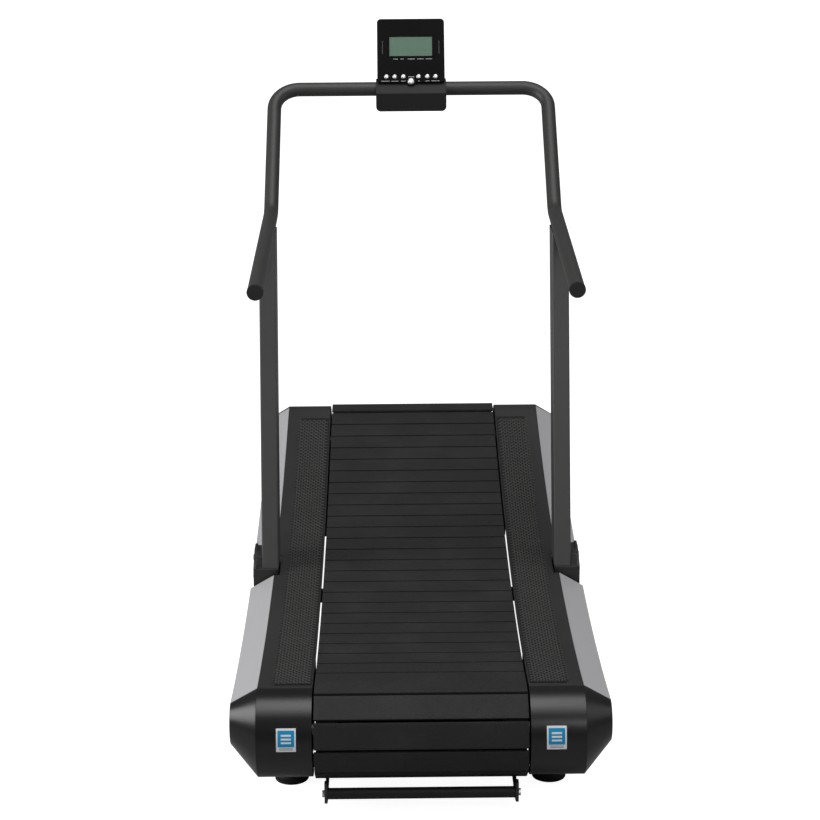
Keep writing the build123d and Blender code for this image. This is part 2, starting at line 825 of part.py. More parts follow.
def bracket_block(x0, x1, y0, y1, z0, z1):
    with Locations(((x0 + x1) / 2, (y0 + y1) / 2, (z0 + z1) / 2)):
        Box(x1 - x0, y1 - y0, z1 - z0)


def upright_bracket():
    """Seat plate, outer cheek and two webs that carry one upright on the beam."""
    seat_low = POST_FOOT_Z - SEAT_THICK
    with BuildPart() as bracket:
        bracket_block(SEAT_IN, CHEEK_OUT, BRACKET_REAR, BRACKET_FRONT, seat_low, POST_FOOT_Z)
        for rear in (BRACKET_REAR, BRACKET_FRONT - WEB_THICK):
            front = rear + WEB_THICK
            bracket_block(BEAM_OUT, CHEEK_OUT, rear, front, WEB_LOW, WEB_HIGH)
            bracket_block(SEAT_IN, CHEEK_OUT, rear, front, WEB_HIGH, seat_low)
        with BuildSketch(Plane.YZ.offset(CHEEK_IN)):
            with BuildLine():
                Polyline(
                    (BRACKET_REAR, WEB_LOW), (BRACKET_FRONT, WEB_LOW),
                    (BRACKET_FRONT, 302), (-36, 302), (BRACKET_REAR, 274), close=True,
                )
            make_face()
        extrude(amount=CHEEK_OUT - CHEEK_IN)
        with BuildSketch(Plane.YZ.offset(POST_OUT)):
            with BuildLine():
                Polyline(
                    (-86, POST_FOOT_Z), (2, POST_FOOT_Z), (2, 298), (-78, 298), close=True,
                )
            make_face()
        extrude(amount=CHEEK_IN - POST_OUT)
    return bracket.part


def bracket_bolt_places():
    return [(-64.0, 246.0), (-44.0, 284.0)]


def frame_bolts():
    """M8 hexagon bolts: upright cheeks and lift bar ends."""
    with BuildPart() as bolts:
        for side in (-1, 1):
            outer = Plane.YZ.offset(CHEEK_OUT)
            outer = outer if side > 0 else Plane.YZ.offset(-CHEEK_OUT - CHEEK_HEAD)
            with BuildSketch(outer):
                with Locations(*bracket_bolt_places()):
                    RegularPolygon(BOLT_RADIUS, 6)
            extrude(amount=CHEEK_HEAD)
            lift = Plane.YZ.offset(LIFT_HALF + LIFT_PLATE)
            lift = lift if side > 0 else Plane.YZ.offset(-LIFT_HALF - LIFT_PLATE - BOLT_HEAD)
            with BuildSketch(lift):
                with Locations((LIFT_Y, LIFT_Z)):
                    RegularPolygon(BOLT_RADIUS, 6)
            extrude(amount=BOLT_HEAD)
            shank = Plane.YZ.offset(LIFT_HALF - BOLT_GRIP)
            shank = shank if side > 0 else Plane.YZ.offset(-LIFT_HALF - LIFT_PLATE)
            with BuildSketch(shank):
                with Locations((LIFT_Y, LIFT_Z)):
                    Circle(LIFT_SHANK)
            extrude(amount=BOLT_GRIP + LIFT_PLATE)
    return bolts.part


# ---- console ---------------------------------------------------------------
TILT = radians(CONSOLE_TILT)
FACE = Plane(
    (0, CONSOLE_Y, CONSOLE_Z), x_dir=(1, 0, 0), z_dir=(0, -cos(TILT), sin(TILT))
)


def button_spots():
    return [(s * x, BUTTON_HEIGHT) for s in (-1, 1) for x in BUTTON_STEPS]


def face_outline(inset):
    with Locations((0, CONSOLE_HEIGHT / 2)):
        RectangleRounded(
            CONSOLE_WIDTH - 2 * inset, CONSOLE_HEIGHT - 2 * inset, CONSOLE_CORNER - inset
        )


def console_front():
    with BuildPart() as shell:
        with BuildSketch(FACE.offset(-FACE_THICK)):
            face_outline(0)
        extrude(amount=FACE_THICK)
        with BuildSketch(FACE.offset(-2)):
            with Locations((0, KNOB_HEIGHT)):
                Circle(11.5)
        extrude(amount=2)
        with BuildSketch(FACE.offset(-FACE_THICK)):
            with Locations((0, WINDOW_MID)):
                Rectangle(WINDOW_WIDTH, WINDOW_HEIGHT)
            with Locations(*button_spots()):
                Circle(BUTTON_RADIUS + BUTTON_GAP)
            with Locations((0, KNOB_HEIGHT)):
                Circle(KNOB_RADIUS + BUTTON_GAP)
        extrude(amount=FACE_THICK, mode=Mode.SUBTRACT)
    return shell.part


def console_back():
    with BuildPart() as shell:
        with BuildSketch(FACE.offset(-CONSOLE_DEPTH)):
            face_outline(0)
        extrude(amount=CONSOLE_DEPTH - FACE_THICK)
        with BuildSketch(FACE.offset(-CONSOLE_DEPTH + CONSOLE_WALL)):
            face_outline(CONSOLE_WALL)
        extrude(amount=CONSOLE_DEPTH - FACE_THICK - CONSOLE_WALL, mode=Mode.SUBTRACT)
        with Locations((0, 600, CONSOLE_FLOOR - 100)):
            Box(300, 300, 200, mode=Mode.SUBTRACT)
        with BuildSketch(FACE.offset(-CONSOLE_DEPTH)):
            with Locations((0, DOOR_MID)):
                Rectangle(DOOR_WIDTH, DOOR_HEIGHT)
        extrude(amount=CONSOLE_WALL, mode=Mode.SUBTRACT)
    return shell.part


def lcd_panel():
    with BuildPart() as panel:
        with BuildSketch(FACE.offset(-FACE_THICK - 3)):
            with Locations((0, WINDOW_MID)):
                Rectangle(WINDOW_WIDTH + 8, WINDOW_HEIGHT + 8)
        extrude(amount=3)
        with BuildSketch(FACE.offset(-FACE_THICK)):
            with Locations((0, WINDOW_MID)):
                Rectangle(WINDOW_WIDTH - 0.4, WINDOW_HEIGHT - 0.4)
        extrude(amount=2.4)
    return panel.part


def circuit_board():
    with BuildPart() as board:
        with BuildSketch(FACE.offset(-FACE_THICK - BOARD_DEPTH)):
            with Locations((0, 95)):
                Rectangle(150, 130)
        extrude(amount=BOARD_THICK)
    return board.part


def battery_door():
    with BuildPart() as door:
        with BuildSketch(FACE.offset(-CONSOLE_DEPTH)):
            with Locations((0, DOOR_MID)):
                Rectangle(DOOR_WIDTH - 2 * DOOR_GAP, DOOR_HEIGHT - 2 * DOOR_GAP)
        extrude(amount=CONSOLE_WALL)
        with BuildSketch(FACE.offset(-CONSOLE_DEPTH + CONSOLE_WALL)):
            with Locations((0, DOOR_MID)):
                with GridLocations(CELL_PITCH, 1, 4, 1):
                    Rectangle(CELL_WIDTH, 50)
        extrude(amount=8)
    return door.part


def push_button(x, height, radius, low, high):
    with BuildPart() as button:
        with BuildSketch(FACE.offset(low)):
            with Locations((x, height)):
                Circle(radius)
        extrude(amount=high - low)
        top = button.faces().sort_by(Axis(FACE.origin, FACE.z_dir))[-1]
        fillet(top.edges(), min(radius * 0.55, high - 0.6))
    return button.part


def console_bracket():
    """Bent sheet that rests on the crossbar and hangs down in front of it."""
    with BuildPart() as sheet:
        with BuildSketch(Plane.YZ.offset(-SHEET_HALF)):
            with BuildLine():
                Polyline(
                    (628, CONSOLE_FLOOR - SHEET_THICK), (585, CONSOLE_FLOOR - SHEET_THICK),
                    (553, 1316.8), (553, 1272), (553 - SHEET_THICK, 1272),
                    (553 - SHEET_THICK, 1318.3), (584, CONSOLE_FLOOR), (628, CONSOLE_FLOOR),
                    close=True,
                )
            make_face()
        extrude(amount=2 * SHEET_HALF)
        fillet(
            sheet.edges().filter_by(Axis.Y).group_by(Axis.Z)[0], 12
        )
    return sheet.part


def console_clamps():
    """Two saddles that hold the sheet to the crossbar from behind."""
    with BuildPart() as clamps:
        for start in (-38 - CLAMP_WIDTH, 38):
            with BuildSketch(Plane.YZ.offset(start)):
                with Locations((606, 1325)):
                    Rectangle(30, 34.4)
                with Locations((BAR_Y, BAR_Z)):
                    Circle(TUBE_RADIUS, mode=Mode.SUBTRACT)
                with Locations((585, 1325)):
                    Rectangle(12, 40, mode=Mode.SUBTRACT)
            extrude(amount=CLAMP_WIDTH)
    return clamps.part


def cap_labels():
    """Plain square stickers on the rear caps."""
    with BuildPart() as labels:
        for side in (-1, 1):
            with BuildSketch(Plane.YZ.offset(side * LABEL_X - LABEL_WIDTH / 2)):
                with Locations((REAR_AXLE_Y, REAR_AXLE_Z)):
                    Circle(HOUSING_NOSE + LABEL_THICK)
                    Circle(HOUSING_NOSE, mode=Mode.SUBTRACT)
                with Locations((REAR_AXLE_Y - 100, REAR_AXLE_Z + LABEL_LIFT)):
                    Rectangle(80, LABEL_HEIGHT, mode=Mode.INTERSECT)
            extrude(amount=LABEL_WIDTH)
    return labels.part


# ---- build everything ------------------------------------------------------
def build_running_gear():
    save(tread_set(("deck",)), "deck_slat_treads")
    save(tread_set(("rear_turn", "return", "front_turn")), "return_slat_treads")
    save(core_set(), "slat_cores")
    save(carrier_belts(), "carrier_belts")
    save(pulley_pair(REAR_AXLE_Y, REAR_AXLE_Z), "rear_pulleys")
    save(pulley_pair(FRONT_AXLE_Y, FRONT_AXLE_Z), "front_pulleys")
    save(axle(REAR_AXLE_Y, REAR_AXLE_Z), "rear_axle")
    save(axle(FRONT_AXLE_Y, FRONT_AXLE_Z), "front_axle")
    save(bearing_set(), "axle_bearings")
    save(one_way_clutch(), "one_way_clutch")
    for number, spot in enumerate(roller_places(), 1):
        save(roller_shaft(spot), "track_roller_" + str(number))


def build_frame():
    beam = frame_beam()
    save(beam, "frame_beam_right")
    save(mirrored(beam), "frame_beam_left")
    save(cross_members(), "cross_members")
    save(axle_plates(), "axle_plates")
    save(track_rails(), "track_rails")
    save(legs(), "floor_legs")
    save(foot(-LEG_X, REAR_LEG_Y, FOOT_RADIUS), "foot_rear_left")
    save(foot(LEG_X, REAR_LEG_Y, FOOT_RADIUS), "foot_rear_right")
    save(foot(-FRONT_LEG_X, FRONT_LEG_Y, FRONT_FOOT_RADIUS), "foot_front_left")
    save(foot(FRONT_LEG_X, FRONT_LEG_Y, FRONT_FOOT_RADIUS), "foot_front_right")
    save(wheel(-1), "wheel_left")
    save(wheel(1), "wheel_right")
    save(lift_bar(), "lift_bar")
    save(frame_bolts(), "frame_bolts")


def build_housings():
    pieces = (
        ("rear_cap", end_cap(-900, CAP_JOINT_REAR)),
        ("front_cap", end_cap(CAP_JOINT_FRONT, 900)),
        ("side_cover_rear", top_cover(CAP_JOINT_REAR, SEAM_Y)),
        ("side_cover_front", top_cover(SEAM_Y, CAP_JOINT_FRONT)),
        ("side_panel", side_panel()),
    )
    for name, piece in pieces:
        save(piece, name + "_right")
        save(mirrored(piece), name + "_left")
    save(foot_pads(), "foot_pads")
    save(cap_labels(), "cap_labels")


def build_uprights():
    post = upright()
    save(post, "upright_right")
    save(mirrored(post), "upright_left")
    bracket = upright_bracket()
    save(bracket, "upright_bracket_right")
    save(mirrored(bracket), "upright_bracket_left")
    save(handlebar(), "handlebar")
    save(handle_end_caps(), "handle_end_caps")


def build_console():
    save(console_front(), "console_front_shell")
    save(console_back(), "console_back_shell")
    save(lcd_panel(), "lcd_panel")
    save(circuit_board(), "circuit_board")
    save(battery_door(), "battery_pack")
    save(console_bracket(), "console_bracket")
    save(console_clamps(), "console_clamps")
    for number, spot in enumerate(sorted(button_spots()), 1):
        piece = push_button(spot[0], spot[1], BUTTON_RADIUS, -2.8, 4.2)
        save(piece, "button_" + str(number))
    save(push_button(0, KNOB_HEIGHT, KNOB_RADIUS, -1.4, 5.2), "button_centre")


build_running_gear()
build_frame()
build_housings()
build_uprights()
build_console()
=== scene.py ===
"""Looks of a curved manual treadmill: slatted belt, side housings, handlebar, console.

Metres.  +Y points forward, +X to the runner's right, +Z up, and the floor is Z = 0.
"""
import json
from math import asin, cos, hypot, pi, radians, sin, sqrt

import bmesh
import bpy
from mathutils import Matrix, Vector


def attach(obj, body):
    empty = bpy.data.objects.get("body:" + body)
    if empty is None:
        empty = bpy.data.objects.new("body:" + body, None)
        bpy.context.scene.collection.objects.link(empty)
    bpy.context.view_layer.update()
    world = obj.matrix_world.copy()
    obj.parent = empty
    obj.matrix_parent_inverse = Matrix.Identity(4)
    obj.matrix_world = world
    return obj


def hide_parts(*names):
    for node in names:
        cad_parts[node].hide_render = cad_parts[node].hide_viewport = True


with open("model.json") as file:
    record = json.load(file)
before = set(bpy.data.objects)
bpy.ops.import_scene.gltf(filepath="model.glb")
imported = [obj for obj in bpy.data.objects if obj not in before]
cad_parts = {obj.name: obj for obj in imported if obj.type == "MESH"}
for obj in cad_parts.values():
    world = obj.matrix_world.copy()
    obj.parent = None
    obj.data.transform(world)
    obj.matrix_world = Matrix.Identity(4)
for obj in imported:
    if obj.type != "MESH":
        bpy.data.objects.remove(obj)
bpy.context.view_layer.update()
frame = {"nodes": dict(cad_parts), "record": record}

NODES = frame["nodes"]
BODY_OF = {
    node: body
    for body, nodes in frame["record"]["behaviour"]["bodies"].items()
    for node in nodes
}


# ---- materials -------------------------------------------------------------
MIX_FIRST = 6             # the Mix node's colour sockets
MIX_SECOND = 7
MIX_RESULT = 2


class Field:
    """A number that changes over a surface, with arithmetic."""

    def __init__(self, tree, socket):
        self.tree = tree
        self.socket = socket

    def maths(self, operation, *values, clamp=False):
        settings = {"operation": operation, "use_clamp": clamp}
        return self.tree.node("ShaderNodeMath", settings, dict(enumerate(values)))

    def __add__(self, other):
        return self.maths("ADD", self, other)

    def __radd__(self, other):
        return self.maths("ADD", other, self)

    def __sub__(self, other):
        return self.maths("SUBTRACT", self, other)

    def __rsub__(self, other):
        return self.maths("SUBTRACT", other, self)

    def __mul__(self, other):
        return self.maths("MULTIPLY", self, other)

    def __rmul__(self, other):
        return self.maths("MULTIPLY", other, self)

    def __truediv__(self, other):
        return self.maths("DIVIDE", self, other)

    def __rtruediv__(self, other):
        return self.maths("DIVIDE", other, self)

    def __gt__(self, other):
        return self.maths("GREATER_THAN", self, other)

    def __lt__(self, other):
        return self.maths("LESS_THAN", self, other)

    def __abs__(self):
        return self.maths("ABSOLUTE", self)

    def repeat(self, pitch):
        """Distance from the middle of the nearest repeat, from 0 to half a pitch."""
        return abs(self.maths("PINGPONG", self, pitch / 2))

    def top(self, other):
        return self.maths("MAXIMUM", self, other)

    def held(self):
        return self.maths("ADD", self, 0.0, clamp=True)

    def step(self, start, end):
        """0 before start, 1 after end, smooth between."""
        settings = {"interpolation_type": "SMOOTHSTEP"}
        return self.tree.node(
            "ShaderNodeMapRange", settings, {"Value": self, "From Min": start, "From Max": end}
        )


class Tree:
    """The nodes of a material or a world, and the one way to add to them."""

    def __init__(self, owner):
        owner.use_nodes = True
        self.nodes = owner.node_tree.nodes
        self.links = owner.node_tree.links

    def node(self, kind, settings=None, inputs=None, out=0):
        node = self.nodes.new(kind)
        for key, value in (settings or {}).items():
            setattr(node, key, value)
        for key, value in (inputs or {}).items():
            self.join(node.inputs[key], value)
        return Field(self, node.outputs[out])

    def join(self, socket, value):
        if isinstance(value, Field):
            self.links.new(value.socket, socket)
        else:
            socket.default_value = value


class Finish(Tree):
    """One material: a Principled shader with constants, and nodes that vary it."""

    def __init__(self, name, **constants):
        self.material = bpy.data.materials.new(name)
        super().__init__(self.material)
        self.shader = self.nodes["Principled BSDF"]
        for socket, value in constants.items():
            self.shader.inputs[socket.replace("_", " ")].default_value = value

    def vary(self, socket, value):
        self.join(self.shader.inputs[socket], value)

    def place(self):
        return self.node("ShaderNodeTexCoord", out="Object")

    def axes(self):
        parts = self.node("ShaderNodeSeparateXYZ", None, {0: self.place()})
        outputs = parts.socket.node.outputs
        return [Field(self, outputs[axis]) for axis in range(3)]

    def noise(self, size, detail=2.0, stretch=(1, 1, 1)):
        """Mottling whose lumps are about size metres across."""
        settings = {"vector_type": "POINT"}
        scale = tuple(1 / (size * part) for part in stretch)
        where = self.node("ShaderNodeMapping", settings, {"Vector": self.place(), "Scale": scale})
        return self.node(
            "ShaderNodeTexNoise", None, {"Vector": where, "Scale": 1.0, "Detail": detail}
        )

    def cells(self, size, feature="F1"):
        return self.node(
            "ShaderNodeTexVoronoi", {"feature": feature},
            {"Vector": self.place(), "Scale": 1 / size},
        )

    def blend(self, amount, first, second):
        """From the first colour to the second as amount goes from 0 to 1."""
        first, second = (
            side if isinstance(side, Field) else (*side, 1) for side in (first, second)
        )
        inputs = {"Factor": amount, MIX_FIRST: first, MIX_SECOND: second}
        return self.node("ShaderNodeMix", {"data_type": "RGBA"}, inputs, MIX_RESULT)

    def relief(self, height, depth):
        """Raised detail of this depth in metres."""
        inputs = {"Distance": depth, "Height": height}
        self.vary("Normal", self.node("ShaderNodeBump", None, inputs))


def rubber(name, dark, light, rough=0.72, grain=0.0009, depth=0.00012, shine=0.3):
    f = Finish(name, Specular_IOR_Level=shine)
    scuff = f.noise(0.09, 4).step(0.42, 0.72)
    speck = f.noise(grain, 3)
    f.vary("Base Color", f.blend(scuff * 0.18 + speck * 0.6, dark, light))
    f.vary("Roughness", rough - scuff * 0.03 + speck * 0.08)
    f.relief(speck + f.cells(grain * 2.2) * 0.6, depth)
    return f.material


def tread_rubber():
    """Belt rubber: a fine woven-looking grain whose raised tips are coloured lighter."""
    f = Finish("slat_rubber_black", Specular_IOR_Level=0.3)
    x, y, z = f.axes()
    along = (y + z) * 0.7
    lattice = ((x + along).repeat(0.0046) + (x - along).repeat(0.0046)) / 0.0046
    wear = f.noise(0.12, 4).step(0.4, 0.75)
    speck = f.noise(0.0009, 3)
    tips = lattice.step(0.55, 0.95)
    # the raised tips of the lattice are coloured lighter than its hollows
    shade = tips * 0.5 + speck * 0.25 + wear * 0.2
    f.vary("Base Color", f.blend(shade.held(), (0.005, 0.0049, 0.0047), (0.032, 0.031, 0.0296)))
    f.vary("Roughness", 0.66 - tips * 0.1 + speck * 0.06)
    f.relief(lattice + speck * 0.3, 0.0005)
    return f.material


def moulding(name, dark, light, rough=0.42, grain=0.0011, depth=0.00006, shine=0.45):
    """Injection-moulded plastic with a spark-eroded grain."""
    f = Finish(name, Specular_IOR_Level=shine)
    cloud = f.noise(0.22, 3)
    pebble = f.cells(grain, "SMOOTH_F1")
    f.vary("Base Color", f.blend(cloud.step(0.35, 0.7), dark, light))
    f.vary("Roughness", rough + cloud * 0.08 - pebble * 0.05)
    f.relief(pebble + f.noise(grain * 0.6, 2) * 0.5, depth)
    return f.material


def coating(name, dark, light, rough=0.4, peel=0.0016, depth=0.00005, shine=0.5, metal=0.0):
    """Powder coat: orange peel, and a few brighter grains."""
    f = Finish(name, Specular_IOR_Level=shine, Metallic=metal)
    skin = f.noise(peel, 2)
    flake = f.noise(0.0006, 1).step(0.62, 0.75)
    f.vary("Base Color", f.blend(flake * 0.5 + f.noise(0.12, 3) * 0.4, dark, light))
    f.vary("Roughness", rough + skin * 0.12 - flake * 0.06)
    f.relief(skin + f.noise(peel * 0.3, 1) * 0.3, depth)
    return f.material


def bare_metal(name, colour, rough=0.28, stretch=(1, 1, 1), depth=0.00001):
    f = Finish(name, Metallic=1.0)
    brushed = f.noise(0.0007, 3, stretch)
    tarnish = f.noise(0.03, 4).step(0.5, 0.8)
    dull = tuple(part * 0.62 for part in colour)
    f.vary("Base Color", f.blend(tarnish * 0.5 + brushed * 0.25, colour, dull))
    f.vary("Roughness", rough + brushed * 0.16 + tarnish * 0.12)
    f.relief(brushed, depth)
    return f.material


def silver_paint():
    """Metallic grey paint on the chamfered side panels."""
    f = Finish("side_panel_silver", Specular_IOR_Level=0.5, Metallic=0.35, Coat_Roughness=0.25)
    flake = f.cells(0.0007).step(0.1, 0.5)
    cloud = f.noise(0.3, 3)
    shade = f.blend(flake * 0.5 + cloud * 0.3, (0.58, 0.58, 0.595), (0.44, 0.44, 0.452))
    f.vary("Base Color", shade)
    f.vary("Roughness", 0.34 + cloud * 0.1 + flake * 0.06)
    f.relief(flake + f.noise(0.002, 2), 0.00002)
    return f.material


def display_glass():
    """Grey-green liquid crystal window with faint unlit segments."""
    f = Finish("display_window", Specular_IOR_Level=0.3, Coat_Weight=0.15, Coat_Roughness=0.1)
    x, y, z = f.axes()
    rise = (y - FACE_Y) * sin(TILT) + (z - FACE_Z) * cos(TILT)
    rule = abs(rise - 0.0885) < 0.0004
    ticks = (x.repeat(0.0184) < 0.00045) * (rise < 0.0885)
    upper = ((x + 0.009).repeat(0.0262) < 0.0004) * (rise > 0.0905)
    lines = rule.top(ticks * 0.7).top(upper * 0.35)
    cloud = f.noise(0.05, 2)
    glass = f.blend(cloud.step(0.3, 0.7), (0.026, 0.098, 0.050), (0.036, 0.112, 0.062))
    f.vary("Base Color", f.blend(lines * 0.55, glass, (0.012, 0.045, 0.028)))
    f.vary("Roughness", 0.22 + cloud * 0.1)
    f.relief(f.noise(0.0012, 1), 0.000004)
    return f.material


def circuit():
    f = Finish("circuit_green", Specular_IOR_Level=0.5)
    x, y, z = f.axes()
    track = (x.repeat(0.004) < 0.0006).top(z.repeat(0.005) < 0.0005)
    mask = track * f.noise(0.02, 0).step(0.48, 0.52)
    f.vary("Base Color", f.blend(mask, (0.01, 0.09, 0.03), (0.05, 0.3, 0.08)))
    f.vary("Roughness", 0.35 + mask * 0.2)
    f.relief(mask, 0.00004)
    return f.material


def printed(name, colour, shade):
    """A printed mark: flat ink, slightly uneven."""
    f = Finish(name, Specular_IOR_Level=0.3)
    ink = f.noise(0.0015, 3)
    f.vary("Base Color", f.blend(ink * 0.5, colour, shade))
    f.vary("Roughness", 0.45 + ink * 0.2)
    f.relief(ink, 0.000008)
    return f.material


# ---- measures of the belt loop, housings and console -------------------------
REAR_AXLE = (-0.7745, 0.173)
FRONT_AXLE = (0.7745, 0.316)
DECK_RADIUS = 4.095
BELLY_RADIUS = 6.0
TURN_RADIUS = 0.099
COVER_DECK_RADIUS = 4.097
COVER_NOSE = 0.097
SLATS = 62
SLATS_PER_TURN = 10
SLAT_PITCH = 0.06
FIRST_SLAT = 0.011        # along the loop from the rear tangent point
FACE_Y = 0.572
FACE_Z = 1.3432
TILT = radians(28)


def away(start, way, length):
    return start[0] + way[0] * length, start[1] + way[1] * length


def loop_centres(deck, nose, belly):
    run = (FRONT_AXLE[0] - REAR_AXLE[0], FRONT_AXLE[1] - REAR_AXLE[1])
    size = hypot(*run)
    up = (-run[1] / size, run[0] / size)
    middle = ((REAR_AXLE[0] + FRONT_AXLE[0]) / 2, (REAR_AXLE[1] + FRONT_AXLE[1]) / 2)
    half = size / 2
    over = away(middle, up, sqrt((deck + nose) ** 2 - half**2))
    under = away(middle, up, sqrt((belly - nose) ** 2 - half**2))
    return over, under


DECK_CENTRE, BELLY_CENTRE = loop_centres(DECK_RADIUS, TURN_RADIUS, BELLY_RADIUS)


def slat_places():
    """(on the deck or not, y, z, tilt) of every slat on the belt."""
    deck_rear = asin((REAR_AXLE[0] - DECK_CENTRE[0]) / (DECK_RADIUS + TURN_RADIUS))
    deck_front = asin((FRONT_AXLE[0] - DECK_CENTRE[0]) / (DECK_RADIUS + TURN_RADIUS))
    low_rear = asin((REAR_AXLE[0] - BELLY_CENTRE[0]) / (BELLY_RADIUS - TURN_RADIUS))
    low_front = asin((FRONT_AXLE[0] - BELLY_CENTRE[0]) / (BELLY_RADIUS - TURN_RADIUS))
    per_turn = SLAT_PITCH * SLATS_PER_TURN / (2 * pi)
    rear_turn = per_turn * (pi + low_rear - deck_rear)
    belly = BELLY_RADIUS * (low_front - low_rear)
    front_turn = per_turn * (pi + deck_front - low_front)
    deck = DECK_RADIUS * (deck_front - deck_rear)
    pitch = (rear_turn + belly + front_turn + deck) / SLATS
    places = []
    for number in range(SLATS):
        way = FIRST_SLAT + number * pitch
        if way < rear_turn:
            tilt = deck_rear + way / per_turn
            spot = away(REAR_AXLE, (-sin(tilt), cos(tilt)), TURN_RADIUS)
        elif way < rear_turn + belly:
            swing = low_rear + (way - rear_turn) / BELLY_RADIUS
            tilt = pi + swing
            spot = away(BELLY_CENTRE, (sin(swing), -cos(swing)), BELLY_RADIUS)
        elif way < rear_turn + belly + front_turn:
            tilt = pi + low_front + (way - rear_turn - belly) / per_turn
            spot = away(FRONT_AXLE, (-sin(tilt), cos(tilt)), TURN_RADIUS)
        else:
            swing = deck_front - (way - rear_turn - belly - front_turn) / DECK_RADIUS
            tilt = swing
            spot = away(DECK_CENTRE, (sin(swing), -cos(swing)), DECK_RADIUS)
        on_deck = way >= rear_turn + belly + front_turn
        places.append((on_deck, spot[0], spot[1], tilt))
    return places


# ---- modelling helpers -----------------------------------------------------
def clear_selection():
    if bpy.context.mode != "OBJECT":
        bpy.ops.object.mode_set(mode="OBJECT")
    bpy.ops.object.select_all(action="DESELECT")


def only(piece):
    clear_selection()
    piece.select_set(True)
    bpy.context.view_layer.objects.active = piece


def started(name):
    """The primitive just added, named."""
    piece = bpy.context.object
    piece.name = name
    piece.data.name = name
    return piece


def pick_edges(piece, test):
    """In edit mode, select only the edges that pass a test."""
    bpy.ops.mesh.select_mode(type="EDGE")
    bpy.ops.mesh.select_all(action="DESELECT")
    mesh = bmesh.from_edit_mesh(piece.data)
    for edge in mesh.edges:
        if test(edge):
            edge.select_set(True)
    bmesh.update_edit_mesh(piece.data)


def selection_size(piece):
    """Width and length of what is selected in edit mode."""
    mesh = bmesh.from_edit_mesh(piece.data)
    spots = [vertex.co for vertex in mesh.verts if vertex.select]
    return [max(s[axis] for s in spots) - min(s[axis] for s in spots) for axis in range(2)]


def on_rim(edge):
    return edge.is_boundary


def faces_outwards():
    bpy.ops.mesh.select_all(action="SELECT")
    bpy.ops.mesh.normals_make_consistent(inside=False)


def edit(piece):
    only(piece)
    bpy.ops.object.mode_set(mode="EDIT")


def done(piece):
    bpy.ops.object.mode_set(mode="OBJECT")
    only(piece)
    bpy.ops.object.transform_apply(location=True, rotation=True, scale=True)
    return piece


def modify(piece, kind, **settings):
    only(piece)
    modifier = piece.modifiers.new(kind, kind)
    for key, value in settings.items():
        setattr(modifier, key, value)
    bpy.ops.object.modifier_apply(modifier=modifier.name)


def smooth(piece, angle):
    only(piece)
    bpy.ops.object.shade_smooth_by_angle(angle=radians(angle))


def dress(piece, finish, body="frame", stands_for=()):
    piece.data.materials.clear()
    piece.data.materials.append(finish)
    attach(piece, body)
    if stands_for:
        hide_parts(*stands_for)
    return piece


def softened(node, width):
    """A CAD piece with its edges rounded, on its own body and in its own finish."""
    piece = bpy.data.objects.new(node + "_body", NODES[node].data.copy())
    bpy.context.scene.collection.objects.link(piece)
    edit(piece)
    bpy.ops.mesh.select_all(action="SELECT")
    bpy.ops.mesh.remove_doubles(threshold=0.00001)
    bpy.ops.mesh.dissolve_limited(angle_limit=radians(0.4))
    bpy.ops.object.mode_set(mode="OBJECT")
    if piece.data.has_custom_normals:
        bpy.ops.mesh.customdata_custom_splitnormals_clear()
    modify(
        piece, "BEVEL", width=width, segments=2, limit_method="ANGLE",
        angle_limit=radians(30), use_clamp_overlap=True,
    )
    smooth(piece, 40)
    modify(piece, "WEIGHTED_NORMAL", keep_sharp=True, weight=80)
    slot = SLOT_OF[node]
    return dress(piece, FINISHES[slot], BODY_OF[node], (node,))


def joined(pieces, name):
    clear_selection()
    for piece in pieces:
        piece.select_set(True)
    bpy.context.view_layer.objects.active = pieces[0]
    bpy.ops.object.join()
    whole = started(name)
    bpy.ops.object.transform_apply(location=True, rotation=True, scale=True)
    return whole


def copies(piece, places):
    """Copies of a piece at these matrices, each with its own mesh."""
    made = []
    for place in places:
        twin = piece.copy()
        twin.data = piece.data.copy()
        twin.matrix_world = place
        bpy.context.scene.collection.objects.link(twin)
        made.append(twin)
    return made


def discard(piece):
    bpy.data.objects.remove(piece, do_unlink=True)


# ---- belt ------------------------------------------------------------------
SLAT_LENGTH = 0.446
SLAT_WIDTH = 0.056
TREAD_THICK = 0.0035
STUDS_ALONG = 56
STUDS_ACROSS = 6
STUD_HEIGHT = 0.0006
BORDER = 0.005
BORDER_STEPS = ((0.002, 0.0), (0.0027, 0.0006), (0.0003, 0.0012))   # outwards, downwards
BORDER_DROP = 0.0018
SKIRT_DEEP = 0.0066
SKIRT_THICK = 0.0019


def widen(piece, grow):
    """Scale the selected loop so that every side of it moves out by this much."""
    width, length = ((size + 2 * grow) / size for size in selection_size(piece))
    bpy.ops.transform.resize(value=(width, length, 1))


